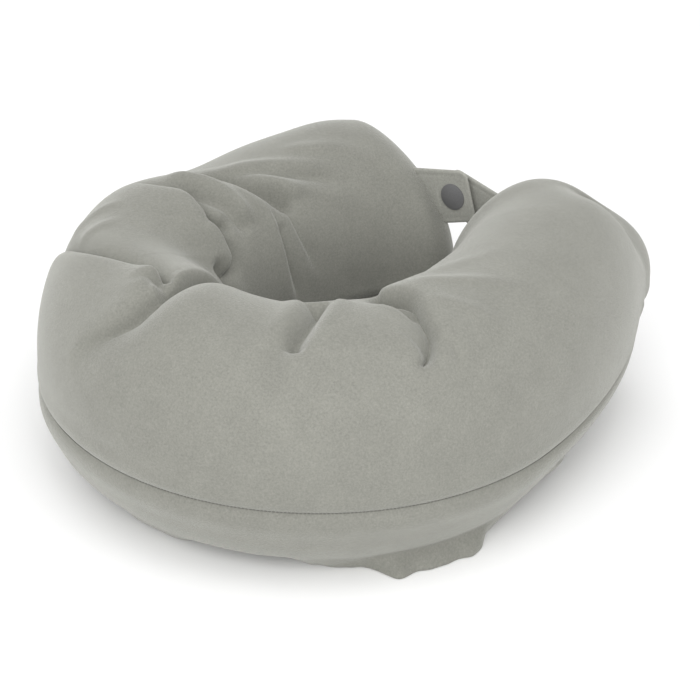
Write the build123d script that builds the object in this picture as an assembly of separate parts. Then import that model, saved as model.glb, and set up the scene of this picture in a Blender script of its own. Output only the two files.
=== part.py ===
from build123d import *
from math import asin, atan2, cos, degrees, radians, sin, sqrt, tan
import os

# Nursing pillow: a stuffed horseshoe in a zipped velour cover. Its two arm ends are joined by a
# pair of short fabric tabs with one press snap. Everything is in millimetres, +Z up. The front of
# the horseshoe faces -Y, its mouth faces +Y, and it stands on z = 0 about the middle of its box.

# Outside shape of the stuffed ring
front_radius = 148.0  # centre line of the front bend
front_turn = 85.0  # degrees that the front bend turns to each side
arm_radius = 275.0  # centre line of each gently curved arm
arm_turn = 40.0  # degrees that each arm turns
half_width = 82.0
half_height = 100.0
tip_radius = 75.0  # curve over the top and under the bottom of the section
centre_height = 95.0  # less than half_height, so the underside is pressed flat

# Layers, from the outside in
cover_thickness = 2.4
seam_tape_thickness = 1.2
layer_gap = 0.3
case_thickness = 1.0

# Cover seam, level all the way round the outside, over the arm ends and back along the inside
seam_height = 73.0
seam_tape_half_width = 7.0
seam_thread_size = 0.8

# Zip in a sunk channel under the front bend
zip_half_angle = 50.0  # degrees to each side of the front
channel_half_width = 15.0
channel_depth = 7.0
channel_past_zip = 5.0  # degrees of channel past each end of the zip
inner_pillow_room = 3.5  # extra height over the channel for the back of the slider
zip_slot_half_width = 7.0
tape_width = 10.0
tape_thickness = 0.8
tape_middle_gap = 1.4  # free line between the two rows of teeth, for the slider's web
tooth_length = 2.4
tooth_height = 1.4
tooth_width = 1.5
tooth_pitch = 3.0
end_stop_width = 3.0
end_stop_inset = 1.5  # degrees in from each end of the tapes
slider_length = 12.0
slider_half_width = 5.2
slider_corner = 2.5
slider_plate = 1.0
slider_clearance = 0.4
slider_web = 0.7
slider_rest_angle = 44.5  # degrees round from the front when the zip is closed

# Pull tab, hooked through a bail under the slider
bail_length = 6.0
bail_wire = 1.2
bail_height = 3.6
pull_length = 21.0
pull_width = 7.0
pull_thickness = 1.0
pull_bar = 1.4
pull_hole_length = 4.4
pull_hole_width = 2.2
pull_corner = 3.0

# Closing tabs
snap_x = -2.5  # the snap sits a little nearer the left arm
snap_z = 150.0
left_tab_y = 173.0  # inner face of the left tab, which faces the hole of the ring
tab_thickness = 3.0
tab_wall = 1.15
tab_root_width = 50.0
tab_free_width = 40.0
tab_corner = 6.0
left_tab_past_snap = 19.0
right_tab_past_snap = 16.0
left_tab_slope = 16.0  # degrees that the left tab climbs towards the snap
right_tab_slope = 18.0  # degrees that the right tab drops away from the snap
tab_clearance = 0.6  # from the cover of the arm end
interfacing_half_length = 13.0
interfacing_half_width = 17.0
interfacing_gap = 0.1

# Press snap
cap_radius = 11.7
cap_height = 3.0
cap_edge = 1.0
pin_radius = 2.0
pin_clearance = 0.05
socket_radius = 8.5
socket_floor = 1.0
socket_cavity_radius = 4.4
stud_radius = 3.8
stud_base_radius = 8.5
stud_base = 1.2
stud_height = 2.4
snap_clearance = 0.2

# Care label, flat inside the cover past the end of the zip
label_length = 26.0
label_width = 16.0
label_thickness = 0.4
label_angle = 68.0

# Loose gathers of the base panel that show under the front. Each is a flat-bottomed roll:
# middle and half length in degrees round the front bend (positive is towards the right arm),
# distance outside the centre line, and radius
gathers = [
    (-76.0, 8.0, 45.0, 13.0),
    (-42.0, 7.0, 45.0, 12.0),
    (0.0, 6.0, 46.0, 14.0),
    (32.0, 10.0, 44.0, 22.0),
    (74.0, 8.0, 45.0, 15.0),
]

# The section is an oval of four arcs: two tips and two sides
tip_offset = half_height - tip_radius
side_radius = (half_width**2 + tip_offset**2 - tip_radius**2) / (2 * (half_width - tip_radius))
side_offset = side_radius - half_width
oval_join = degrees(atan2(tip_offset, side_offset))


def heading(angle):
    """Unit vector along the centre line once it has turned this many degrees from the front."""
    return Vector(cos(radians(angle)), sin(radians(angle)), 0)


def outward(angle):
    """Unit vector that points away from the hole there."""
    return Vector(sin(radians(angle)), -cos(radians(angle)), 0)


def turn_over(length):
    """Degrees of the front bend's centre line that this length covers."""
    return degrees(length / front_radius)


end_turn = front_turn + arm_turn
arm_centre_offset = outward(front_turn) * (front_radius - arm_radius)
end_offset = arm_centre_offset + outward(end_turn) * arm_radius
front_centre = Vector(0, (front_radius - end_offset.Y) / 2, 0)
arm_centre = front_centre + arm_centre_offset
arm_end = front_centre + end_offset


def bend(sketch, start, centre, radius, turn):
    """A section, with x outward and y up, carried round one arc of the centre line."""
    place = centre + outward(start) * radius
    plane = Plane(origin=place, x_dir=outward(start), z_dir=-heading(start))
    return revolve(plane * sketch, Axis((centre.X, centre.Y, 0), (0, 0, 1)), turn)


def both_sides(shape):
    return shape + mirror(shape, Plane.YZ)


def around_ring(sketch):
    """A section carried round the front bend, along both arms and round both arm ends."""
    reach = 4 * half_height
    outer_half = sketch & Rectangle(reach, reach, align=(Align.MIN, Align.CENTER))
    front = bend(sketch, -front_turn, front_centre, front_radius, 2 * front_turn)
    arm = bend(sketch, front_turn, arm_centre, arm_radius, arm_turn)
    plane = Plane(origin=arm_end, x_dir=outward(end_turn), z_dir=-heading(end_turn))
    end = revolve(plane * outer_half, Axis((arm_end.X, arm_end.Y, 0), (0, 0, 1)), 180)
    return front + both_sides(arm + end)


def oval(inset):
    """The stuffed section before its underside is pressed flat, moved in by inset."""
    side = side_radius - inset
    tip = tip_radius - inset
    outline = [
        CenterArc((-side_offset, 0), side, -oval_join, 2 * oval_join),
        CenterArc((0, tip_offset), tip, oval_join, 180 - 2 * oval_join),
        CenterArc((side_offset, 0), side, 180 - oval_join, 2 * oval_join),
        CenterArc((0, -tip_offset), tip, 180 + oval_join, 180 - 2 * oval_join),
    ]
    return Pos(0, centre_height) * make_face(outline)


def band(low, high):
    """Everything between two heights."""
    return Pos(0, (low + high) / 2) * Rectangle(4 * half_width, high - low)


def section(inset):
    return oval(inset) - band(-half_height, inset)


def ring_sector(inner, outer, low, high, half_angle, middle_angle=0.0):
    """A piece of a flat ring about the front bend's axis."""
    size = Rectangle(outer - inner, high - low)
    placed = Pos((inner + outer) / 2 - front_radius, (low + high) / 2) * size
    return bend(placed, middle_angle - half_angle, front_centre, front_radius, 2 * half_angle)


def zip_channel(grow, headroom=0.0):
    """The sunk channel that keeps the zip off the surface under the pillow."""
    half = channel_half_width + grow
    half_angle = zip_half_angle + channel_past_zip + turn_over(grow)
    top = channel_depth + grow + headroom
    return ring_sector(front_radius - half, front_radius + half, -1.0, top, half_angle)


def base_gathers():
    """The folds of loose base fabric that come out from under the front."""
    inside = around_ring(section(cover_thickness / 2))
    folds = []
    for middle, half_length, distance, radius in gathers:
        quarter = Circle(radius) & Rectangle(2 * radius, 2 * radius, align=(Align.MIN, Align.MIN))
        path_radius = front_radius + distance
        upper_half = quarter + mirror(quarter, Plane.YZ)
        roll = bend(upper_half, middle - half_length, front_centre, path_radius, 2 * half_length)
        ball = split(Sphere(radius), Plane.XY, keep=Keep.TOP)
        for end in (middle - half_length, middle + half_length):
            place = front_centre + outward(end) * path_radius
            roll = roll + Pos(place.X, place.Y, 0) * ball
        folds += (roll - inside).solids()
    return [fold for fold in folds if fold.center().Z < half_height]


def make_cover():
    """Top panel, base panel, seam thread and the tape that binds the seam inside."""
    shell = section(0) - section(cover_thickness)
    half_thread = seam_thread_size / 2
    thread = (section(0) - section(seam_thread_size)) & band(
        seam_height - half_thread, seam_height + half_thread
    )
    top = (shell & band(seam_height, 3 * half_height)) - thread
    base = (shell & band(-half_height, seam_height)) - thread
    slot = ring_sector(
        front_radius - zip_slot_half_width,
        front_radius + zip_slot_half_width,
        channel_depth - 1.0,
        channel_depth + cover_thickness + 1.0,
        zip_half_angle,
    )
    channel_wall = zip_channel(cover_thickness) - half_space_below()
    base = around_ring(base) + channel_wall - zip_channel(0) - slot
    for fold in base_gathers():
        base = base + fold
    tape = section(cover_thickness) - section(cover_thickness + seam_tape_thickness)
    tape = tape & band(seam_height - seam_tape_half_width, seam_height + seam_tape_half_width)
    return {
        "cover_top_panel": around_ring(top),
        "cover_base_panel": base,
        "cover_seam_thread": around_ring(thread),
        "cover_seam_tape": around_ring(tape),
    }


def half_space_below(height=0.0):
    reach = 4 * (front_radius + half_width)
    return Pos(0, 0, height) * Box(reach, reach, reach, align=(Align.CENTER, Align.CENTER, Align.MAX))


def make_inner_pillow():
    """Stuffing in its own sewn case, which leaves room over the zip."""
    case_outside = cover_thickness + seam_tape_thickness + layer_gap
    case_inside = case_outside + case_thickness
    filling = case_inside + layer_gap
    case = around_ring(section(case_outside) - section(case_inside))
    case_wall = zip_channel(case_inside, inner_pillow_room) - half_space_below(case_outside)
    case = case + case_wall - zip_channel(case_outside, inner_pillow_room)
    return {
        "inner_pillow_case": case,
        "fibre_filling": around_ring(section(filling)) - zip_channel(filling, inner_pillow_room),
    }


def zip_teeth(side):
    """One row of teeth; side is 1 for the outer row and -1 for the inner row."""
    low = channel_depth + cover_thickness - tooth_height
    step = turn_over(tooth_pitch)
    near = front_radius + side * tape_middle_gap / 2
    far = near + side * tooth_length
    count = int(2 * (zip_half_angle - channel_past_zip) / step)
    first = -(count - 1) / 2 * step + side * step / 4
    teeth = [
        ring_sector(
            min(near, far),
            max(near, far),
            low,
            low + tooth_height,
            turn_over(tooth_width / 2),
            first + n * step,
        )
        for n in range(count)
    ]
    return Compound([tooth.solid() for tooth in teeth])


def zip_tape(side):
    """One tape, on the inside of the base panel, with its free edge over the teeth."""
    low = channel_depth + cover_thickness
    near = front_radius + side * tape_middle_gap / 2
    far = near + side * tape_width
    return ring_sector(min(near, far), max(near, far), low, low + tape_thickness, zip_half_angle)


def zip_end_stops():
    """A moulded block across both rows of teeth at each end of the zip."""
    high = channel_depth + cover_thickness
    half = tape_middle_gap / 2 + tooth_length
    stops = [
        ring_sector(
            front_radius - half,
            front_radius + half,
            high - tooth_height,
            high,
            turn_over(end_stop_width / 2),
            side * (zip_half_angle - end_stop_inset),
        )
        for side in (-1, 1)
    ]
    return Compound([stop.solid() for stop in stops])


slider_roof = channel_depth + cover_thickness + tape_thickness + slider_clearance
slider_floor = channel_depth + cover_thickness - tooth_height - slider_clearance
bail_top = slider_floor - slider_plate
bail_eye = bail_height - bail_wire
pull_axis_height = bail_top - bail_eye / 2


def on_zip(shape):
    """Moves a shape from the origin, with x back along the zip, to where the closed slider is."""
    place = front_centre + outward(slider_rest_angle) * front_radius
    return Plane(origin=place, x_dir=-heading(slider_rest_angle), z_dir=(0, 0, 1)).location * shape


def slab(length, width, low, high):
    """A plate about the z axis between two heights."""
    return Pos(0, 0, (low + high) / 2) * Box(length, width, high - low)


def make_slider():
    """Two plates joined by a web between the rows of teeth, with the bail under the lower one."""
    width = 2 * slider_half_width
    lower = slab(slider_length, width, slider_floor - slider_plate, slider_floor)
    upper = slab(slider_length, width, slider_roof, slider_roof + slider_plate)
    lower = fillet(lower.edges().filter_by(Axis.Z), slider_corner)
    upper = fillet(upper.edges().filter_by(Axis.Z), slider_corner)
    web = slab(slider_length / 2, slider_web, slider_floor, slider_roof)
    bail = slab(bail_length, bail_wire, bail_top - bail_height, bail_top)
    eye = slab(bail_length - 2 * bail_wire, 3 * bail_wire, bail_top - bail_eye, bail_top)
    return on_zip(lower + upper + web + (bail - eye))


def make_pull():
    """A flat tab whose end bar runs through the eye of the bail; it lies along the zip."""
    low = pull_axis_height - pull_thickness / 2
    high = pull_axis_height + pull_thickness / 2
    plate = Pos((pull_length - pull_bar) / 2, 0) * slab(pull_length, pull_width, low, high)
    far_edges = plate.edges().filter_by(Axis.Z).group_by(Axis.X)[-1]
    plate = fillet(far_edges, pull_corner)
    hole = Pos((pull_bar + pull_hole_length) / 2, 0) * slab(
        pull_hole_length, pull_hole_width, low - 1, high + 1
    )
    return on_zip(plate - hole)


snap_gap = socket_floor + stud_height + 2 * snap_clearance + stud_base
left_tab_middle = left_tab_y + tab_thickness / 2
right_tab_middle = left_tab_middle + tab_thickness + snap_gap
root_tilt = degrees(asin((snap_z - centre_height) / side_radius))


def root_distance(inner_face_y):
    """How far from the middle plane the arm end's cover is, at the height of the snap."""
    height = snap_z - centre_height
    end_radius = sqrt(side_radius**2 - height**2) - side_offset + tab_clearance
    return arm_end.X - sqrt(end_radius**2 - (inner_face_y - arm_end.Y) ** 2)


def tab_plane(slope, y, side):
    """Plane of a tab at the snap: x towards its free end, y up across it."""
    towards_free_end = Vector(side * cos(radians(slope)), 0, sin(radians(slope)))
    return Plane(origin=(snap_x, y, snap_z), x_dir=towards_free_end, z_dir=(0, -side, 0))


def make_tab(plane, slope, past_snap, root_from_snap):
    """A flat velour sleeve and the interfacing inside it."""
    slope_angle = radians(slope)
    root = root_from_snap / (cos(slope_angle) + sin(slope_angle) * tan(radians(root_tilt)))
    lean = tan(radians(root_tilt - slope)) * tab_root_width / 2
    corners = [
        (-root + lean, -tab_root_width / 2),
        (past_snap, -tab_free_width / 2),
        (past_snap, tab_free_width / 2),
        (-root - lean, tab_root_width / 2),
    ]
    outline = make_face(Polyline(*corners, close=True))
    outline = fillet(outline.vertices().group_by(Axis.X)[-1], tab_corner)
    sleeve = extrude(outline, tab_thickness / 2, both=True)
    length = 2 * interfacing_half_length
    width = 2 * interfacing_half_width
    pocket_height = tab_thickness - 2 * tab_wall
    gap = 2 * interfacing_gap
    hole = Cylinder(pin_radius + pin_clearance, 4 * tab_thickness)
    sleeve = sleeve - Box(length, width, pocket_height) - hole
    stiffener = Box(length - gap, width - gap, pocket_height - gap) - hole
    return plane.location * sleeve, plane.location * stiffener


def cap_with_pin(pin_length):
    """Snap cap, domed on its -z side, with its pin going up from the fabric at z = 0."""
    rise = cap_height - cap_edge
    dome_radius = (cap_radius**2 + rise**2) / (2 * rise)
    disc = extrude(Circle(cap_radius), -cap_height)
    ball = Pos(0, 0, dome_radius - cap_height) * Sphere(dome_radius)
    return (disc & ball) + extrude(Circle(pin_radius), pin_length)


def make_snap():
    """Cap and socket on the left tab, stud and back cap on the right tab."""
    half = tab_thickness / 2
    hole = Circle(pin_radius + pin_clearance)
    to_socket = Plane(origin=(snap_x, left_tab_middle, snap_z), z_dir=(0, 1, 0)).location
    to_stud = Plane(origin=(snap_x, right_tab_middle, snap_z), z_dir=(0, -1, 0)).location
    socket_height = socket_floor + stud_height + snap_clearance
    floor = extrude(Circle(socket_radius) - hole, socket_floor)
    wall = extrude(Circle(socket_radius) - Circle(socket_cavity_radius), socket_height)
    base = extrude(Circle(stud_base_radius) - hole, stud_base)
    head = extrude(Circle(stud_radius) - hole, stud_base + stud_height)
    return {
        "snap_cap": to_socket * (Pos(0, 0, -half) * cap_with_pin(tab_thickness + socket_floor)),
        "snap_socket": to_socket * (Pos(0, 0, half) * (floor + wall)),
        "snap_stud": to_stud * (Pos(0, 0, half) * (base + head)),
        "snap_back_cap": to_stud * (Pos(0, 0, -half) * cap_with_pin(tab_thickness + stud_base)),
    }


def make_label():
    """A folded satin label, flat on the inside of the base panel."""
    low = cover_thickness + layer_gap
    place = front_centre + outward(label_angle) * front_radius
    label = slab(label_length, label_width, low, low + label_thickness)
    return Plane(origin=place, x_dir=heading(label_angle), z_dir=(0, 0, 1)).location * label


def main():
    parts = make_cover()
    parts.update(make_inner_pillow())
    parts["zip_tape_outer"] = zip_tape(1)
    parts["zip_tape_inner"] = zip_tape(-1)
    parts["zip_teeth_outer"] = zip_teeth(1)
    parts["zip_teeth_inner"] = zip_teeth(-1)
    parts["zip_end_stops"] = zip_end_stops()
    parts["zip_slider"] = make_slider()
    parts["zip_pull"] = make_pull()
    parts["care_label"] = make_label()
    parts["left_tab"], parts["left_tab_interfacing"] = make_tab(
        tab_plane(left_tab_slope, left_tab_middle, 1),
        left_tab_slope,
        left_tab_past_snap,
        root_distance(left_tab_y) + snap_x,
    )
    parts["right_tab"], parts["right_tab_interfacing"] = make_tab(
        tab_plane(right_tab_slope, right_tab_middle, -1),
        right_tab_slope,
        right_tab_past_snap,
        root_distance(right_tab_middle - tab_thickness / 2) - snap_x,
    )
    parts.update(make_snap())
    os.makedirs("parts", exist_ok=True)
    for name, shape in parts.items():
        export_step(shape, f"parts/{name}.step")


main()
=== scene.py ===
import math

import bmesh
import bpy
import numpy as np
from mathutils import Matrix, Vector


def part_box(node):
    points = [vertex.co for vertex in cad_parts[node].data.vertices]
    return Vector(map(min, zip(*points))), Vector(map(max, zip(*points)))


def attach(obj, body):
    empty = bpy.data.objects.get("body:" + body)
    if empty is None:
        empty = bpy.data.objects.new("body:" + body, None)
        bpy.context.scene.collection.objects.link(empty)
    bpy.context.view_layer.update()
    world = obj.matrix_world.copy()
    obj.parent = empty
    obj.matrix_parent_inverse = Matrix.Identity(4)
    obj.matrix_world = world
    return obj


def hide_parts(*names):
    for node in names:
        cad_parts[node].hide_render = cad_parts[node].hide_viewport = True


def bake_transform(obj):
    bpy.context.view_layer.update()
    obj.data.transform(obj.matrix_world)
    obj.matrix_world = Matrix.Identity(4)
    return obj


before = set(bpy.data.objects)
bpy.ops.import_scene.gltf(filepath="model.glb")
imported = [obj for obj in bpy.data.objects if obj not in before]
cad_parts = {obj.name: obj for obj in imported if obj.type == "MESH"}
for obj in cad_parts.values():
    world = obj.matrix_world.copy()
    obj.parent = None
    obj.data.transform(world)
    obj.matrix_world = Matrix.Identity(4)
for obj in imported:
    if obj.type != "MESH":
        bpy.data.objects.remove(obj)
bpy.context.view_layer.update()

# A nursing pillow: a stuffed horseshoe in a velour cover, closed by two tabs with a press snap.
# Places on the ring are a length s along its centre line from the middle of the front, less than
# 0 on the left arm, and an angle theta round its section, up from the outward direction.

# ---------------------------------------------------------------- sizes: metres and degrees
FRONT_RADIUS = 0.148  # centre line of the front bend
FRONT_TURN = 85.0  # how far the front bend turns to each side
FRONT_Y = -0.0104  # where the front bend's axis stands
RIGHT_ARM_RADIUS = 0.279  # centre line of each gently curved arm
RIGHT_TURN = 41.6
LEFT_ARM_RADIUS = 0.272
LEFT_TURN = 42.3
HALF_WIDTH = 0.082
HALF_HEIGHT = 0.0985
SECTION_POWER = 2.15  # 2 is an ellipse, more is squarer
CENTRE_HEIGHT = 0.0935  # less than HALF_HEIGHT, so the underside is pressed flat
RIGHT_LIFT = 0.006  # how much higher each arm lies once LIFT_LENGTH along it
LEFT_LIFT = -0.004
LIFT_LENGTH = 0.15
RIGHT_END = 0.050  # length of each closed end
LEFT_END = 0.068
RIGHT_BLUNT = 2.7  # how squarely each end closes: 2 is round
LEFT_BLUNT = 2.9
LEFT_SLANT = 1.1  # how much rounder the left end is on its outer upper side
SLANT_ANGLE = 65.0
NOSE_SHIFT = 0.030  # how far the left end's tip leans into the ring
NOSE_DROP = 0.004
RIGHT_NOSE = -0.36  # the right tip's lean, as a share of the left one's
SEAM_OUT = -12.0  # theta of the cover's seam on the ring's outer side
SEAM_IN = 192.0  # and on its inner side
ROWS = 556  # grid points along the ring
COLUMNS = 270  # grid points round it
UPPER_SHARE = 0.66  # of the columns, on the cover's upper part
LEFT_TIP_SHARE = 0.08  # of the rows, on each closed end
RIGHT_TIP_SHARE = 0.07
DENSE_S = (-0.33, 0.20, 2.2)  # where the folds are, and how many times denser the grid is there
DENSE_THETA = (30, 150, 1.8)

FRONT_LENGTH = FRONT_RADIUS * math.radians(FRONT_TURN)
RIGHT_LENGTH = FRONT_LENGTH + RIGHT_ARM_RADIUS * math.radians(RIGHT_TURN)
LEFT_LENGTH = FRONT_LENGTH + LEFT_ARM_RADIUS * math.radians(LEFT_TURN)


def smoothstep(x, low, high):
    """0 below low, 1 above high, and a smooth rise between them."""
    t = np.clip((x - low) / (high - low), 0, 1)
    return t * t * (3 - 2 * t)


def bell(x, width):
    """1 at x = 0, falling smoothly to about a third at width."""
    return np.exp(-((x / width) ** 2))


# ---------------------------------------------------------------- the ring's smooth surface
def spine(s):
    """Point, tangent and outward direction of the centre line at length s from the front."""
    side = np.where(s < 0, -1.0, 1.0)
    t = np.abs(s)
    full = math.radians(FRONT_TURN)
    arm_radius = np.where(s < 0, LEFT_ARM_RADIUS, RIGHT_ARM_RADIUS)
    on_arm = t >= FRONT_LENGTH
    angle = np.where(on_arm, full + (t - FRONT_LENGTH) / arm_radius, t / FRONT_RADIUS)
    radius = np.where(on_arm, arm_radius, FRONT_RADIUS)
    shift = np.where(on_arm, FRONT_RADIUS - arm_radius, 0.0)
    x = side * (shift * math.sin(full) + radius * np.sin(angle))
    y = -shift * math.cos(full) - radius * np.cos(angle) + FRONT_Y
    lift = np.where(s < 0, LEFT_LIFT, RIGHT_LIFT) * np.clip((t - FRONT_LENGTH) / LIFT_LENGTH, 0, 1)
    point = np.stack([x, y, CENTRE_HEIGHT + lift], -1)
    tangent = np.stack([np.cos(angle), np.sin(angle) * side, 0 * x], -1)
    outward = np.stack([tangent[..., 1], -tangent[..., 0], 0 * x], -1)
    return point, tangent, outward


def base_point(s, theta):
    """The smooth stuffed surface: s in metres, theta in degrees."""
    s, theta = np.broadcast_arrays(np.asarray(s, float), np.asarray(theta, float))
    inside = np.clip(s, -LEFT_LENGTH, RIGHT_LENGTH)
    point, tangent, outward = spine(inside)
    over = np.clip(np.abs(s - inside) / np.where(s > 0, RIGHT_END, LEFT_END), 0, 1)
    a = np.radians(theta)
    cos, sin = np.cos(a), np.sin(a)
    # the left end closes early on its outer upper side, so that its nose sits low and inside
    early = np.clip(0.5 + 0.5 * np.cos(a - math.radians(SLANT_ANGLE)), 0, 1)
    blunt = np.where(s > 0, RIGHT_BLUNT, LEFT_BLUNT - LEFT_SLANT * early)
    shrink = (1 - over**blunt) ** (1 / blunt)
    r = (np.abs(cos) ** SECTION_POWER + np.abs(sin) ** SECTION_POWER) ** (-1 / SECTION_POWER)
    nose = np.where(s < 0, 1.0, RIGHT_NOSE) * smoothstep(over, 0, 1)
    xyz = point + tangent * (s - inside)[..., None]
    xyz = xyz + outward * (HALF_WIDTH * r * cos * shrink - NOSE_SHIFT * nose)[..., None]
    xyz[..., 2] += HALF_HEIGHT * r * sin * shrink - NOSE_DROP * np.clip(nose, 0, 1)
    return xyz


def crowded(low, high, count, start, end, gain):
    """count places from low to high, gain times closer together between start and end."""
    x = np.linspace(low, high, 4000)
    soft = 0.06 * (high - low)
    crowd = smoothstep(x, start - soft, start) * (1 - smoothstep(x, end, end + soft))
    density = 1 + (gain - 1) * crowd
    total = np.concatenate([[0], np.cumsum(0.5 * (density[1:] + density[:-1]))])
    return np.interp(np.linspace(0, total[-1], count), total, x)


def ring_grid():
    """s and theta of the grid's rows and columns, and where its upper columns end. Both crowd
    where the folds are, and the rows crowd towards the two tips too."""
    n_left = int(ROWS * LEFT_TIP_SHARE)
    n_right = int(ROWS * RIGHT_TIP_SHARE)
    a_left = np.sin(np.linspace(math.pi / 2, 0, n_left, endpoint=False))
    a_right = np.sin(np.linspace(0, math.pi / 2, n_right + 1)[1:])
    middle = crowded(-LEFT_LENGTH, RIGHT_LENGTH, ROWS - n_left - n_right, *DENSE_S)
    left_end = -LEFT_LENGTH - LEFT_END * a_left
    right_end = RIGHT_LENGTH + RIGHT_END * a_right
    upper = int(COLUMNS * UPPER_SHARE)
    upper_theta = crowded(SEAM_OUT, SEAM_IN, upper + 1, *DENSE_THETA)[:-1]
    lower_theta = np.linspace(SEAM_IN, SEAM_OUT + 360, COLUMNS - upper, endpoint=False)
    return (
        np.concatenate([left_end, middle, right_end]),
        np.concatenate([upper_theta, lower_theta]),
        upper,
    )


def normals_of(xyz):
    """Outward normals of the grid's points."""
    du = np.gradient(xyz, axis=0)
    dv = np.roll(xyz, -1, 1) - np.roll(xyz, 1, 1)
    n = np.cross(dv, du)
    n /= np.maximum(np.linalg.norm(n, axis=-1, keepdims=True), 1e-12)
    return n if n[len(n) // 2, COLUMNS // 4, 2] > 0 else -n


# ---------------------------------------------------------------- folds
def along(points, count=60):
    """A smooth line on the smooth surface, through points given as (s in mm, theta in degrees)."""
    p = np.array(points, float)
    t = np.linspace(0, len(p) - 1, count)
    i = np.minimum(t.astype(int), len(p) - 2)
    f = (t - i)[:, None]
    q = np.vstack([2 * p[0] - p[1], p, 2 * p[-1] - p[-2]])
    p0, p1, p2, p3 = q[i], q[i + 1], q[i + 2], q[i + 3]
    cubic = (3 * p1 - p0 - 3 * p2 + p3) * f**3
    c = 0.5 * (2 * p1 + (p2 - p0) * f + (2 * p0 - 5 * p1 + 4 * p2 - p3) * f**2 + cubic)
    return base_point(c[:, 0] / 1000, c[:, 1])


def nearest(xyz, normal, line, reach):
    """For points within reach of the line: which they are, place along it 0 to 1, signed
    distance (positive on its left, in mm), and the direction to the left."""
    low, high = line.min(0) - reach, line.max(0) + reach
    near = np.nonzero(((xyz > low) & (xyz < high)).all(-1))
    pts, n = xyz[near], normal[near]
    a, b = line[:-1], line[1:]
    ab = b - a
    best = np.full(len(pts), 1e9)
    place = np.zeros(len(pts))
    delta = np.zeros_like(pts)
    along_dir = np.zeros_like(pts)
    for k in range(len(a)):
        f = np.clip(((pts - a[k]) @ ab[k]) / (ab[k] @ ab[k]), 0, 1)
        d = pts - a[k] - f[:, None] * ab[k]
        d2 = (d * d).sum(1)
        m = d2 < best
        best[m] = d2[m]
        place[m] = (k + f[m]) / len(a)
        delta[m] = d[m]
        along_dir[m] = ab[k] / np.linalg.norm(ab[k])
    left = np.cross(n, along_dir)
    sign = np.where((delta * left).sum(1) < 0, -1.0, 1.0)
    return near, place, sign * np.sqrt(best) * 1000, left


def window(t, fades):
    """1 along a line, falling to 0 over a share of its length at each end."""
    start, end = max(fades[0], 1e-3), max(fades[1], 1e-3)
    return smoothstep(t, -1e-3, start) * (1 - smoothstep(t, 1 - end, 1.001))


# Broad bulges and dips: middle (s in mm, theta), half sizes the same way, height in mm
BULGES = [
    (-20, 95, 34, 34, 8.5),
    (112, 108, 42, 30, 4.5),
    (34, 108, 34, 30, 2.5),
    (-105, 48, 48, 30, 3.0),
    (-185, 8, 60, 36, -4.5),
    (-110, -45, 60, 28, 6.0),
    (300, -40, 90, 30, -9.0),
    (-200, 62, 32, 26, 5.0),
    (-138, 120, 46, 36, -9.0),
    (196, 118, 40, 32, 5.0),
    (265, 140, 60, 32, 6.0),
    (418, 128, 52, 42, -9.0),
    (438, 54, 27, 31, -16.5),
    (445, 4, 32, 34, 11.5),
    (-444, 150, 56, 48, -8.0),
    (-396, 78, 36, 34, 7.0),
    (-285, 72, 38, 34, -9.0),
    (215, 95, 60, 40, 2.5),
]

# Every fold follows a line of (s in mm, theta in degrees), and fades in and out over a share of
# its length at the two ends. Its other sizes are in mm.
# Valleys: line, depth, half width, height of the lips beside it, fades
VALLEYS = [
    ([(96, 112), (89, 92), (83, 76), (81, 64)], 16, 7.0, 3.0, (0.02, 0.16)),
    ([(70, 80), (72, 62), (75, 42)], 3.5, 9.0, 0.8, (0.35, 0.6)),
    ([(178, 66), (176, 54), (170, 40)], 3.5, 3.6, 1.4, (0.25, 0.5)),
    (
        [(-246, 80), (-273, 101), (-289, 117), (-303, 130), (-314, 138)],
        13, 7.0, 3.2, (0.35, 0.16),
    ),
    ([(-272, 92), (-312, 111), (-358, 123), (-400, 130)], 5.0, 5.5, 3.0, (0.2, 0.5)),
    ([(-226, 80), (-232, 106), (-240, 130), (-244, 140)], 6.0, 6.0, 1.0, (0.3, 0.20)),
    ([(-203, 118), (-216, 127), (-232, 133)], 9.0, 5.0, 2.0, (0.2, 0.3)),
    ([(-163, 138), (-164, 150), (-158, 166)], 12, 6.0, 1.0, (0.3, 0.3)),
    ([(-52, 88), (-40, 86), (-28, 84)], 13, 9.0, 0.0, (0.35, 0.45)),
    ([(152, 108), (164, 98), (171, 82)], 5, 4.0, 1.5, (0.25, 0.3)),
]

# Ridges: line, height, half width, fades
RIDGES = [
    ([(-333, 93), (-380, 104), (-440, 118)], 2.6, 8.0, (0.3, 0.4)),
    ([(-160, 42), (-172, 60), (-184, 80)], 2.2, 6.0, (0.3, 0.4)),
    ([(-144, 52), (-150, 66), (-158, 84)], 1.8, 6.0, (0.3, 0.4)),
    ([(-240, 70), (-243, 96), (-250, 122), (-252, 138)], 6.8, 9.0, (0.25, 0.3)),
    ([(178, 112), (225, 92), (262, 66)], 2.6, 7.0, (0.3, 0.5)),
    ([(190, 122), (246, 110), (300, 92)], 1.8, 8.0, (0.4, 0.5)),
    ([(178, 92), (205, 72), (222, 48)], 1.8, 6.0, (0.3, 0.5)),
    ([(83, 64), (81, 56), (79, 46)], 2.5, 8.0, (0.3, 0.5)),
    ([(-44, 84), (-37, 80), (-31, 76)], 5.0, 3.4, (0.3, 0.3)),
]

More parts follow.
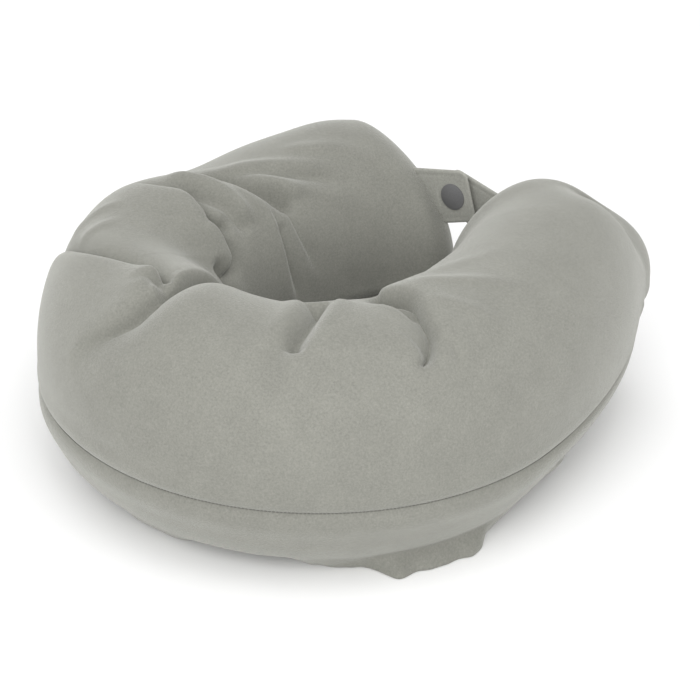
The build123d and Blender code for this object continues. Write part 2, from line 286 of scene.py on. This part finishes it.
# Steps, where one side of the line lies over the other: line, side that is raised (1 left,
# -1 right), its height and reach, the low side's depth and reach, fades, overhang
STEPS = [
    (
        [(-176, 18), (-152, 34), (-136, 50), (-114, 63), (-88, 77), (-64, 86), (-36, 92)],
        -1, 5.5, 24.0, 11.0, 16.0, (0.32, 0.06), 3.0,
    ),
    (
        [(-58, 26), (-50, 36), (-42, 48), (-33, 62), (-32, 76), (-36, 92), (-44, 106), (-52, 122),
         (-60, 142)],
        1, 5.0, 34.0, 17.0, 19.0, (0.42, 0.14), 4.0,
    ),
    (
        [(-216, 58), (-212, 84), (-216, 101), (-210, 114), (-203, 124), (-198, 138), (-188, 146),
         (-160, 152)],
        -1, 6.0, 26.0, 13.0, 13.0, (0.25, 0.12), 4.0,
    ),
    (
        [(160, 122), (172, 112), (180, 98), (177, 82), (174, 68), (168, 57), (160, 51), (151, 53)],
        1, 6.5, 22.0, 16.0, 17.0, (0.06, 0.14), 5.0,
    ),
    ([(-58, 93), (-48, 86), (-39, 77), (-34, 68)], -1, 4.0, 14.0, 5.0, 7.0, (0.25, 0.3), 2.5),
    (
        [(-283, 128), (-284, 148), (-286, 167), (-300, 190)],
        -1, 3.4, 13.0, 4.5, 10.0, (0.22, 0.3), 1.2,
    ),
    ([(-303, 132), (-309, 152), (-332, 180)], -1, 3.2, 12.0, 4.0, 10.0, (0.2, 0.4), 1.2),
    (
        [(430, 70), (415, 50), (408, 36), (412, 22), (424, 2)],
        -1, 4.0, 24.0, 9.0, 10.0, (0.2, 0.6), 2.0,
    ),
]


# How each kind of fold is shaped across its line
LINE_REACH = 0.05  # metres to each side of its line that a valley or ridge can change
STEP_REACH = 0.09
VALLEY_POWER = 1.5  # 1 is a sharp crease, 2 a round one
LIP_AT = 2.3  # a lip's middle and width, in half widths of its valley
LIP_WIDTH = 1.3
CREST_WIDTH = 4.0  # mm over which a step's raised side rounds up
LOW_POWER = 1.6
EDGE_LOW, EDGE_HIGH = -2.0, 2.4  # mm from the line, where one side gives way to the other
OVERHANG_AT = 1.0
OVERHANG_WIDTH = 5.0
TIP_FADE = 0.75  # share of a closed end after which its folds and seam fade out


def eased(field):
    """The field with its one-cell steps smoothed away along both grid directions."""
    for _ in range(2):
        ends = np.concatenate([field[:1], field, field[-1:]])
        field = 0.25 * ends[:-2] + 0.5 * field + 0.25 * ends[2:]
        field = 0.25 * np.roll(field, 1, 1) + 0.5 * field + 0.25 * np.roll(field, -1, 1)
    return field


def off_tips(s):
    """1 on the ring, falling to 0 at the two tips, where all angles meet in one point."""
    over = np.maximum((-LEFT_LENGTH - s) / LEFT_END, (s - RIGHT_LENGTH) / RIGHT_END)
    return 1 - smoothstep(over, TIP_FADE, 1.0)


def bulges(s, theta):
    """Height in metres of all the bulges at each grid point."""
    height = np.zeros(s.shape)
    for at, round_at, half, round_half, rise in BULGES:
        turn = (theta - round_at + 180) % 360 - 180
        height += rise / 1000 * bell(s * 1000 - at, half) * bell(turn, round_half) * off_tips(s)
    return height


def add_valley(height, xyz, normal, line, depth, width, lip, fades):
    """Adds a valley with a lip on each side to height."""
    near, place, d, _ = nearest(xyz, normal, along(line), LINE_REACH)
    d = np.abs(d)
    cut = -depth * np.exp(-((d / width) ** VALLEY_POWER))
    lips = lip * bell(d - LIP_AT * width, LIP_WIDTH * width)
    height[near] += (cut + lips) * window(place, fades) / 1000


def add_ridge(height, xyz, normal, line, rise, width, fades):
    """Adds a ridge to height."""
    near, place, d, _ = nearest(xyz, normal, along(line), LINE_REACH)
    height[near] += rise * bell(d, width) * window(place, fades) / 1000


def add_step(
    height, slide, xyz, normal, line, side, rise, rise_reach, depth, depth_reach, fades, overhang
):
    """Adds a step to height, and to slide the shift of its raised edge over the low side."""
    near, place, d, left = nearest(xyz, normal, along(line), STEP_REACH)
    w = window(place, fades)
    d = d * side
    high, low = np.clip(d, 0, None), np.clip(-d, 0, None)
    up = rise * (1 - np.exp(-high / CREST_WIDTH)) * np.exp(-high / rise_reach)
    down = depth * np.exp(-((low / depth_reach) ** LOW_POWER))
    mix = smoothstep(d, EDGE_LOW, EDGE_HIGH)
    height[near] += (up * mix - down * (1 - mix)) * w / 1000
    over = overhang * np.exp(-(((d - OVERHANG_AT) / OVERHANG_WIDTH) ** 2)) * w / 1000
    slide[near] -= left * (over * side)[:, None]


def add_folds(xyz, normal, s, theta):
    """Every bulge and fold, all measured from the same smooth surface."""
    height = bulges(s, theta)
    slide = np.zeros_like(xyz)
    for valley in VALLEYS:
        add_valley(height, xyz, normal, *valley)
    for ridge in RIDGES:
        add_ridge(height, xyz, normal, *ridge)
    for step in STEPS:
        add_step(height, slide, xyz, normal, *step)
    return xyz + eased(normal * height[..., None] + slide)


# Loose gathers of the base panel on the ground outside the ring: s in mm, how far out of the
# centre line the cloth reaches there in mm, and how loose it is, 0 to 1
GATHERS = [
    (-230, 40, 0.0),
    (-190, 50, 0.4),
    (-150, 40, 0.0),
    (-110, 40, 0.0),
    (-80, 44, 0.4),
    (-52, 38, 0.2),
    (-26, 47, 0.70),
    (6, 43, 0.70),
    (34, 24, 0.30),
    (66, 24, 0.30),
    (92, 42, 0.80),
    (120, 46, 0.95),
    (130, 52, 1.00),
    (138, 68, 1.00),
    (152, 63, 1.00),
    (168, 62, 1.00),
    (184, 63, 1.00),
    (192, 60, 0.95),
    (206, 48, 0.80),
    (226, 40, 0.35),
    (262, 40, 0.20),
    (292, 50, 0.50),
    (316, 42, 0.10),
    (360, 40, 0.0),
]
SKIRT_START = -50.0  # theta where the loose cloth leaves the ring
SKIRT_SLACK = 1.02  # how far it stands off there, as a share
SKIRT_DROP = 1.4  # more makes it fall steeper at first
HEM_RIPPLES = ((0.0012, 4.3, 0.0), (0.0006, 2.1, 1.0))  # height, mm for a radian, phase
CRUMPLE = 0.14  # share of the height by which the falling cloth ripples
CRUMPLE_LENGTH = 6.5  # mm for a radian
CRUMPLE_TWIST = 2.2


def add_gathers(xyz, s, theta):
    """Turns the underside outside the ring's flat into folds of loose cloth."""
    point, _, outward = spine(np.clip(s, -LEFT_LENGTH, RIGHT_LENGTH))
    angle = np.where(theta > 180, theta - 360, theta)
    t = np.clip((SKIRT_START - angle) / (90 + SKIRT_START), 0, 1) * (angle > -91)
    places, reaches, looseness = np.array(GATHERS, float).T
    mm = s * 1000
    full = np.interp(mm, places, looseness)
    ripple = sum(rise * np.cos(mm / length + phase) for rise, length, phase in HEM_RIPPLES)
    out = np.interp(mm, places, reaches) / 1000 + full * ripple
    # the first half of t falls outward to the ground, the second runs back under the ring
    first = np.clip(t / 0.5, 0, 1)
    second = np.clip((t - 0.5) / 0.5, 0, 1)
    start_out = HALF_WIDTH * math.cos(math.radians(SKIRT_START)) * SKIRT_SLACK
    x = (start_out + (out - start_out) * np.sin(first * math.pi / 2)) * (1 - second)
    start_z = CENTRE_HEIGHT + HALF_HEIGHT * math.sin(math.radians(SKIRT_START)) * SKIRT_SLACK
    wave = np.cos(mm / CRUMPLE_LENGTH + CRUMPLE_TWIST * first)
    z = start_z * (1 - first) ** SKIRT_DROP * (1 + CRUMPLE * wave * np.sin(first * math.pi))
    skirt = point + outward * x[..., None]
    skirt[..., 2] = z
    w = (full * smoothstep(t, 0, 0.10) * (1 - smoothstep(t, 0.85, 1)))[..., None]
    return eased(xyz * (1 - w) + skirt * w - xyz) + xyz


# ---------------------------------------------------------------- mesh helpers
MERGE_DISTANCE = 1e-5


def new_mesh(name, verts, faces):
    """A smooth-shaded object, with points that coincide joined into one."""
    mesh = bpy.data.meshes.new(name)
    mesh.from_pydata([tuple(v) for v in verts], [], faces)
    work = bmesh.new()
    work.from_mesh(mesh)
    bmesh.ops.remove_doubles(work, verts=work.verts, dist=MERGE_DISTANCE)
    work.to_mesh(mesh)
    work.free()
    mesh.update()
    mesh.shade_smooth()
    obj = bpy.data.objects.new(name, mesh)
    bpy.context.collection.objects.link(obj)
    return obj


def ring_faces(rows, first, last, keep=None):
    """Quads between the grid's columns first to last, wrapping round, where keep allows them."""
    faces = []
    for i in range(rows - 1):
        for j in range(first, last):
            a, b = j % COLUMNS, (j + 1) % COLUMNS
            if keep is None or keep(i, a):
                here, after = i * COLUMNS, (i + 1) * COLUMNS
                faces.append((here + a, here + b, after + b, after + a))
    return faces


def compact(verts, faces):
    """Only the vertices that the faces use."""
    used = sorted({v for f in faces for v in f})
    index = {v: k for k, v in enumerate(used)}
    return verts[used], [tuple(index[v] for v in f) for f in faces]


# ---------------------------------------------------------------- the cover's surface
# The seam's relief: height in mm, middle and width in degrees of theta from the seam. The outer
# seam has a ditch, a fold line above it and the roll of the base panel under it.
OUTER_SEAM = ((-2.6, 0.0, 1.6), (0.8, 6.0, 3.0), (2.4, -8.0, 7.0))
INNER_SEAM = ((-2.5, 0.0, 2.2), (0.8, 4.0, 3.0))  # alike above and below

# The zip's channel in the underside, with the label's recess at its end
CHANNEL_HALF = 0.0155
CHANNEL_SLOPE = 0.008  # width of its sloping sides
CHANNEL_TURN = 56.0  # degrees to each side of the front
CHANNEL_END = 3.0  # degrees over which each end slopes
SLOT_HALF = 0.0068  # the open slot along the zip
SLOT_TURN = 50.0
SLOT_LIP = 0.004  # width and rise of the cloth turned in along the slot
LIP_RISE = 0.0013
TEETH_DEPTH = 0.001  # how far the teeth lie behind the channel's cloth
RECESS_HALF = 0.018
RECESS_SLOPE = 0.008
RECESS_START = (54.0, 58.0)  # degrees round the front bend over which it sinks and rises
RECESS_END = (82.0, 88.0)
LABEL_GAP = 0.0003
UNDERSIDE = 0.02  # below this height, a point is on the underside


def seam_relief(theta):
    """Height in mm of the seam's ditch and rolls."""
    outer = np.where(theta > 270, theta - 360, theta) - SEAM_OUT
    inner = np.abs(theta - SEAM_IN)
    relief = sum(rise * bell(outer - at, width) for rise, at, width in OUTER_SEAM)
    return relief + sum(rise * bell(inner - at, width) for rise, at, width in INNER_SEAM)


def cover_surface(s, theta):
    """The whole cover, folds and gathers included, standing on the ground."""
    smooth = base_point(s, theta)
    normal = normals_of(smooth)
    xyz = smooth + normal * (seam_relief(theta) / 1000 * off_tips(s))[..., None]
    xyz = add_folds(xyz, normal, s, theta)
    xyz = add_gathers(xyz, s, theta)
    xyz[..., 2] = np.maximum(xyz[..., 2], 0.0)
    return xyz


def sink_underside(xyz):
    """Sinks the zip's channel and the label's recess into xyz, and says where the slot is open."""
    teeth_low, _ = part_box("zip_teeth_outer")
    _, label_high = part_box("care_label")
    turn = np.degrees(np.arctan2(xyz[..., 0], FRONT_Y - xyz[..., 1]))
    off_line = np.abs(np.hypot(xyz[..., 0], xyz[..., 1] - FRONT_Y) - FRONT_RADIUS)
    under = xyz[..., 2] < UNDERSIDE
    channel = 1 - smoothstep(off_line, CHANNEL_HALF, CHANNEL_HALF + CHANNEL_SLOPE)
    channel *= (1 - smoothstep(np.abs(turn), CHANNEL_TURN, CHANNEL_TURN + CHANNEL_END)) * under
    lip = 1 - smoothstep(off_line, SLOT_HALF, SLOT_HALF + SLOT_LIP)
    channel_floor = (teeth_low.z - TEETH_DEPTH) + LIP_RISE * lip
    recess = (1 - smoothstep(off_line, RECESS_HALF, RECESS_HALF + RECESS_SLOPE)) * under
    recess *= smoothstep(turn, *RECESS_START) * (1 - smoothstep(turn, *RECESS_END))
    xyz[..., 2] = np.maximum(xyz[..., 2], channel_floor * channel)
    xyz[..., 2] = np.maximum(xyz[..., 2], (label_high.z + LABEL_GAP) * recess)
    return (off_line < SLOT_HALF) & (np.abs(turn) < SLOT_TURN) & (xyz[..., 2] < UNDERSIDE)


def seam_places(xyz, upper, pitch):
    """Even places round the seam and the surface's normals there: out along the outer side,
    over the tip, back along the inner side."""
    surface = normals_of(xyz)
    loop = np.concatenate([xyz[:, 0], xyz[::-1, upper], xyz[:1, 0]])
    facing = np.concatenate([surface[:, 0], surface[::-1, upper], surface[:1, 0]])
    run = np.concatenate([[0], np.cumsum(np.linalg.norm(np.diff(loop, axis=0), axis=1))])
    places = np.linspace(0, run[-1], int(run[-1] / pitch), endpoint=False)
    points = np.stack([np.interp(places, run, loop[:, k]) for k in range(3)], -1)
    normals = np.stack([np.interp(places, run, facing[:, k]) for k in range(3)], -1)
    return points, normals / np.linalg.norm(normals, axis=1, keepdims=True)


STITCH_PITCH = 0.0029
STITCH_LENGTH = 0.0022
STITCH_RADIUS = 0.00042
STITCH_LIFT = 0.0004  # how far its middle stands off the cloth
STITCH_SIDES = 6
# how thick a stitch is along its length, both as shares
STITCH_PROFILE = ((-0.5, 0.35), (-0.3, 0.95), (0.0, 1.1), (0.3, 0.95), (0.5, 0.35))


def stitches(name, line, normals):
    """One short rounded stitch at each place of the line."""
    step = np.roll(line, -1, 0) - np.roll(line, 1, 0)
    step /= np.linalg.norm(step, axis=1, keepdims=True)
    side = np.cross(normals, step)
    turns = [2 * math.pi * k / STITCH_SIDES for k in range(STITCH_SIDES)]
    last = (len(STITCH_PROFILE) - 1) * STITCH_SIDES
    points, faces = [], []
    for p, t, n, b in zip(line, step, normals, side):
        start = len(points)
        for u, r in STITCH_PROFILE:
            for a in turns:
                ring = (n * math.cos(a) + b * math.sin(a)) * (r * STITCH_RADIUS)
                points.append(p + t * (u * STITCH_LENGTH) + ring)
        for i in range(start, start + last, STITCH_SIDES):
            for k in range(STITCH_SIDES):
                a, c = i + k, i + (k + 1) % STITCH_SIDES
                faces.append((a, c, c + STITCH_SIDES, a + STITCH_SIDES))
        faces.append(tuple(start + k for k in reversed(range(STITCH_SIDES))))
        faces.append(tuple(start + last + k for k in range(STITCH_SIDES)))
    return new_mesh(name, points, faces)


def make_cover():
    """The cover's upper and lower part and the stitches of the seam between them."""
    s_list, theta_list, upper = ring_grid()
    xyz = cover_surface(*np.meshgrid(s_list, theta_list, indexing="ij"))
    slot = sink_underside(xyz)
    verts = xyz.reshape(-1, 3)
    top = new_mesh("cover_upper", *compact(verts, ring_faces(ROWS, 0, upper)))
    base_faces = ring_faces(ROWS, upper, COLUMNS, lambda i, j: not slot[i, j])
    base = new_mesh("cover_lower", *compact(verts, base_faces))
    points, normals = seam_places(xyz, upper, STITCH_PITCH)
    return top, base, stitches("seam_stitches", points + normals * STITCH_LIFT, normals)


top, base, thread = make_cover()


# ---------------------------------------------------------------- materials
def srgb(*c):
    """A colour given as 0 to 255 on a screen, as the shader's linear values."""
    c = [v / 255 for v in c]
    return tuple(v / 12.92 if v <= 0.04045 else ((v + 0.055) / 1.055) ** 2.4 for v in c)


def new_node(tree, kind, **values):
    """A node with its own settings and the values of its inputs."""
    node = tree.nodes.new(kind)
    for key, value in values.items():
        if hasattr(node, key):
            setattr(node, key, value)
        else:
            node.inputs[key.replace("_", " ")].default_value = value
    return node


def new_material(name):
    """A material, its node tree and its shader."""
    mat = bpy.data.materials.new(name)
    mat.use_nodes = True
    return mat, mat.node_tree, mat.node_tree.nodes["Principled BSDF"]


def velour(name, colour, grain=0.30):
    """Short brushed pile: speckled fibre tips, soft brushed patches, a knitted ground, a sheen."""
    mat, tree, bsdf = new_material(name)
    link = tree.links.new
    bsdf.inputs["Roughness"].default_value = 0.92
    bsdf.inputs["Specular IOR Level"].default_value = 0.12
    bsdf.inputs["Sheen Weight"].default_value = 0.55
    bsdf.inputs["Sheen Roughness"].default_value = 0.42
    bsdf.inputs["Sheen Tint"].default_value = (0.94, 0.94, 0.90, 1)
    coords = new_node(tree, "ShaderNodeTexCoord")
    patches = new_node(tree, "ShaderNodeTexNoise", Scale=38.0, Detail=4.0, Roughness=0.6)
    pile = new_node(tree, "ShaderNodeTexNoise", Scale=620.0, Detail=5.0, Roughness=0.8)
    rows = new_node(tree, "ShaderNodeTexWave", Scale=330.0, Distortion=3.0, Detail=2.0)
    for node in (patches, pile, rows):
        link(coords.outputs["Object"], node.inputs["Vector"])
    both = new_node(tree, "ShaderNodeMath", operation="MULTIPLY_ADD")
    both.inputs[1].default_value = 0.22  # the patches' share beside the pile's
    link(patches.outputs["Fac"], both.inputs[0])
    link(pile.outputs["Fac"], both.inputs[2])
    tone = new_node(tree, "ShaderNodeMapRange", From_Min=0.33, From_Max=0.90)
    tone.inputs["To Min"].default_value = 1 - grain
    tone.inputs["To Max"].default_value = 1 + grain
    link(both.outputs[0], tone.inputs["Value"])
    tint = new_node(tree, "ShaderNodeVectorMath", operation="SCALE")
    tint.inputs[0].default_value = colour
    link(tone.outputs["Result"], tint.inputs["Scale"])
    link(tint.outputs["Vector"], bsdf.inputs["Base Color"])
    relief = new_node(tree, "ShaderNodeMath", operation="MULTIPLY_ADD")
    relief.inputs[1].default_value = 0.10  # the knitted rows' share beside the pile's
    link(rows.outputs["Fac"], relief.inputs[0])
    link(pile.outputs["Fac"], relief.inputs[2])
    bump = new_node(tree, "ShaderNodeBump", Strength=0.55, Distance=0.0009)
    link(relief.outputs[0], bump.inputs["Height"])
    link(bump.outputs["Normal"], bsdf.inputs["Normal"])
    return mat


def finish(
    name, colour, roughness, metallic=0.0, scale=900.0, relief=0.00005, weave=False, stretch=1.0
):
    """A fine-grained finish: moulded grain, brushed metal if stretched, or two crossing threads."""
    mat, tree, bsdf = new_material(name)
    link = tree.links.new
    bsdf.inputs["Metallic"].default_value = metallic
    coords = new_node(tree, "ShaderNodeTexCoord")
    place = new_node(tree, "ShaderNodeMapping")
    place.inputs["Scale"].default_value = (1, 1, stretch)
    link(coords.outputs["Object"], place.inputs["Vector"])
    grain = new_node(tree, "ShaderNodeTexNoise", Scale=scale, Detail=3.0, Roughness=0.6)
    link(place.outputs["Vector"], grain.inputs["Vector"])
    height = grain.outputs["Fac"]
    if weave:
        crossed = new_node(tree, "ShaderNodeMath", operation="MULTIPLY")
        for k, axis in enumerate("XY"):
            threads = new_node(tree, "ShaderNodeTexWave", bands_direction=axis, Distortion=0.6)
            threads.inputs["Scale"].default_value = scale
            link(place.outputs["Vector"], threads.inputs["Vector"])
            link(threads.outputs["Fac"], crossed.inputs[k])
        height = crossed.outputs[0]
    tone = new_node(tree, "ShaderNodeMapRange", From_Min=0.2, From_Max=0.8)
    tone.inputs["To Min"].default_value = 0.88
    tone.inputs["To Max"].default_value = 1.10
    link(height, tone.inputs["Value"])
    tint = new_node(tree, "ShaderNodeVectorMath", operation="SCALE")
    tint.inputs[0].default_value = colour
    link(tone.outputs["Result"], tint.inputs["Scale"])
    link(tint.outputs["Vector"], bsdf.inputs["Base Color"])
    rough = new_node(tree, "ShaderNodeMapRange", From_Min=0.2, From_Max=0.8)
    rough.inputs["To Min"].default_value = max(roughness - 0.07, 0.05)
    rough.inputs["To Max"].default_value = min(roughness + 0.08, 1.0)
    link(grain.outputs["Fac"], rough.inputs["Value"])
    link(rough.outputs["Result"], bsdf.inputs["Roughness"])
    bump = new_node(tree, "ShaderNodeBump", Strength=0.6, Distance=relief)
    link(height, bump.inputs["Height"])
    link(bump.outputs["Normal"], bsdf.inputs["Normal"])
    return mat


velour_mat = velour("sage_velour", srgb(132, 132, 125))
# The tabs get a lighter copy of the same velour. This is painted light, standing in for the light the
# tabs miss in the shade of the arms.
tab_painted_light_mat = velour("tab_velour", srgb(156, 156, 149))
thread_mat = finish("thread", srgb(108, 108, 102), 0.8, scale=2400, relief=0.0002)
snap_mat = finish("snap_plastic", srgb(106, 106, 107), 0.38, scale=700, relief=0.00004)
teeth_mat = finish("zip_teeth_plastic", srgb(126, 126, 119), 0.42, scale=1400, relief=0.00003)
stop_mat = finish("zip_stop_metal", srgb(150, 150, 146), 0.35, 0.85, 1600, 0.00003)
tape_mat = finish("zip_tape_weave", srgb(128, 128, 120), 0.9, scale=420, relief=0.0002, weave=True)
metal_mat = finish("zip_metal", srgb(140, 140, 136), 0.34, 0.85, 500, 0.00003, stretch=12)
label_mat = finish("satin_label", srgb(236, 236, 232), 0.45, scale=650, relief=0.00008, weave=True)


def plain(name, colour, roughness):
    """The studio floor's even finish."""
    mat, _, bsdf = new_material(name)
    bsdf.inputs["Base Color"].default_value = (*colour, 1)
    bsdf.inputs["Roughness"].default_value = roughness
    return mat


floor_mat = plain("studio_floor", (0.94, 0.94, 0.94), 0.9)


def paint(material, *nodes):
    """Gives CAD nodes a material."""
    for node in nodes:
        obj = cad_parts[node]
        obj.data.materials.clear()
        obj.data.materials.append(material)


paint(snap_mat, "snap_cap", "snap_socket", "snap_stud", "snap_back_cap")
paint(teeth_mat, "zip_teeth_outer", "zip_teeth_inner")
paint(stop_mat, "zip_end_stops")
paint(tape_mat, "zip_tape_outer", "zip_tape_inner")
paint(metal_mat, "zip_slider", "zip_pull")
paint(label_mat, "care_label")

for piece, slot, nodes in (
    (top, "velour_top", ("cover_top_panel", "inner_pillow_case", "fibre_filling")),
    (base, "velour_base", ("cover_base_panel", "cover_seam_tape")),
):
    piece.data.materials.append(velour_mat)
    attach(piece, "pillow")
    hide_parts(*nodes)

thread.data.materials.append(thread_mat)
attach(thread, "pillow")
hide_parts("cover_seam_thread")

# ---------------------------------------------------------------- tabs
TAB_HALF = 0.0015  # half of a tab's thickness
TAB_ROWS = 70
TAB_COLUMNS = 40
EDGE_ROUND = 0.0016  # how far in from its edge a tab reaches its full thickness
HEM_IN = 0.0048  # the hem's stitch line: how far in it lies, how deep and how wide it is
HEM_DEPTH = 0.0003
HEM_WIDTH = 0.0010
ROOT_SAG = 0.0010  # how far the cloth sags near the root, and its wave along the tab
ROOT_WAVE = 5.0


def tab_outline(u, start, end, root_half, free_half, corner):
    """Share of the tab's length at u, and its half width there."""
    f = np.clip((u - start) / (end - start), 0, 1)
    half = root_half + (free_half - root_half) * f
    cut = end - u
    if cut < corner:
        half -= corner - math.sqrt(max(corner**2 - (corner - cut) ** 2, 0))
    return f, half


def tab_points(origin, along_dir, across, facing, start, end, root_half, free_half, corner):
    """The points of both faces, row by row from the root to the rounded free end."""
    verts = []
    across_t = np.sin(np.linspace(-math.pi / 2, math.pi / 2, TAB_COLUMNS))
    for face in (1, -1):
        for u in np.linspace(start, end, TAB_ROWS):
            f, half = tab_outline(u, start, end, root_half, free_half, corner)
            for v in across_t:
                edge = min(half * (1 - abs(v)), end - u)
                thick = TAB_HALF * min(1.0, max(edge, 0) / EDGE_ROUND) ** 0.5
                thick -= HEM_DEPTH * math.exp(-(((edge - HEM_IN) / HEM_WIDTH) ** 2))
                sag = ROOT_SAG * math.sin(f * ROOT_WAVE) * (1 - abs(v)) * (f < 0.5)
                verts.append(origin + along_dir * u + across * (v * half) + facing * (face * thick + sag))
    return verts


def tab_faces():
    """The quads of both faces and of the rim between them."""
    rows, cols = TAB_ROWS, TAB_COLUMNS
    faces = []
    n = rows * cols
    for i in range(rows - 1):
        for j in range(cols - 1):
            a, b, c, d = i * cols + j, i * cols + j + 1, (i + 1) * cols + j + 1, (i + 1) * cols + j
            faces.append((a, b, c, d))
            faces.append((n + d, n + c, n + b, n + a))
    rim = list(range(cols)) + [i * cols + cols - 1 for i in range(1, rows)]
    rim += [(rows - 1) * cols + j for j in reversed(range(cols - 1))]
    rim += [i * cols for i in reversed(range(1, rows - 1))]
    for a, b in zip(rim, rim[1:] + rim[:1]):
        faces.append((b, a, n + a, n + b))
    return faces


def make_tab(name, node, slope, side, *outline):
    """A flat two-layer tab through the snap, in its CAD node's plane. It climbs by slope degrees
    towards its free end, which points to +X if side is 1. outline holds the lengths of its root
    and its free end from the snap, the half widths there and the corners' radius."""
    low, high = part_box(node)
    cap_low, cap_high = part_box("snap_cap")
    snap = (cap_low + cap_high) / 2
    a = math.radians(slope)
    along_dir = Vector((side * math.cos(a), 0, math.sin(a)))
    across = Vector((-side * math.sin(a), 0, math.cos(a)))
    middle = Vector((snap.x, (low.y + high.y) / 2, snap.z))
    points = tab_points(middle, along_dir, across, Vector((0, -side, 0)), *outline)
    tab = new_mesh(name, points, tab_faces())
    tab.data.materials.append(tab_painted_light_mat)
    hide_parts(node, node + "_interfacing")
    return tab


left_tab = make_tab("tab_left", "left_tab", 16, 1, -0.050, 0.019, 0.0265, 0.0228, 0.008)
right_tab = make_tab("tab_right", "right_tab", 18, -1, -0.088, 0.013, 0.0255, 0.0200, 0.008)
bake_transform(left_tab)
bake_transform(right_tab)

# ---------------------------------------------------------------- floor, light, camera
FLOOR_SIZE = 12
WORLD_STRENGTH = 0.87

bpy.ops.mesh.primitive_plane_add(size=FLOOR_SIZE)
floor = bpy.context.object
floor.name = "floor"
floor.data.materials.append(floor_mat)

world = bpy.context.scene.world or bpy.data.worlds.new("World")
bpy.context.scene.world = world
world.use_nodes = True
world.node_tree.nodes["Background"].inputs[0].default_value = (1, 1, 1, 1)
world.node_tree.nodes["Background"].inputs[1].default_value = WORLD_STRENGTH
bpy.context.scene.view_settings.view_transform = "Standard"

CAMERA_AZIMUTH = 37.62
CAMERA_ELEVATION = 29.47
CAMERA_DISTANCE = 1.989
CAMERA_LENS = 125.8  # mm, on a sensor 36 mm wide
AIM_HEIGHT = 0.0821  # the point looked at, and how far it lies to the camera's right and up
AIM_RIGHT = 0.0224
AIM_UP = 0.0008
# Soft boxes: name, azimuth, elevation, distance, size, power in watts
LIGHTS = (
    ("key", 62, 64, 1.25, 0.9, 3.6),
    ("left", -112, 20, 2.4, 1.7, 10),
    ("front", 28, 33, 2.6, 2.2, 34),
)


def direction(azimuth, elevation):
    """Towards the viewer: azimuth 0 is -Y."""
    a, e = math.radians(azimuth), math.radians(elevation)
    return Vector((math.sin(a) * math.cos(e), -math.cos(a) * math.cos(e), math.sin(e)))


def area_light(name, azimuth, elevation, distance, size, power):
    """A square soft box that faces the origin."""
    data = bpy.data.lights.new(name, "AREA")
    data.energy = power
    data.size = size
    lamp = bpy.data.objects.new(name, data)
    place = direction(azimuth, elevation) * distance
    lamp.location = place
    lamp.rotation_mode = "QUATERNION"
    lamp.rotation_quaternion = place.to_track_quat("Z", "Y")
    bpy.context.collection.objects.link(lamp)


for light in LIGHTS:
    area_light(*light)

back = direction(CAMERA_AZIMUTH, CAMERA_ELEVATION)
right = direction(CAMERA_AZIMUTH + 90, 0)
aim = Vector((0, FRONT_Y, AIM_HEIGHT)) + right * AIM_RIGHT + back.cross(right) * AIM_UP
cam_data = bpy.data.cameras.new("camera")
cam_data.sensor_width = 36
cam_data.lens = CAMERA_LENS
cam_data.clip_end = 50
camera = bpy.data.objects.new("camera", cam_data)
bpy.context.collection.objects.link(camera)
camera.rotation_mode = "QUATERNION"
camera.location = aim + back * CAMERA_DISTANCE
camera.rotation_quaternion = back.to_track_quat("Z", "Y")
bpy.context.scene.camera = camera
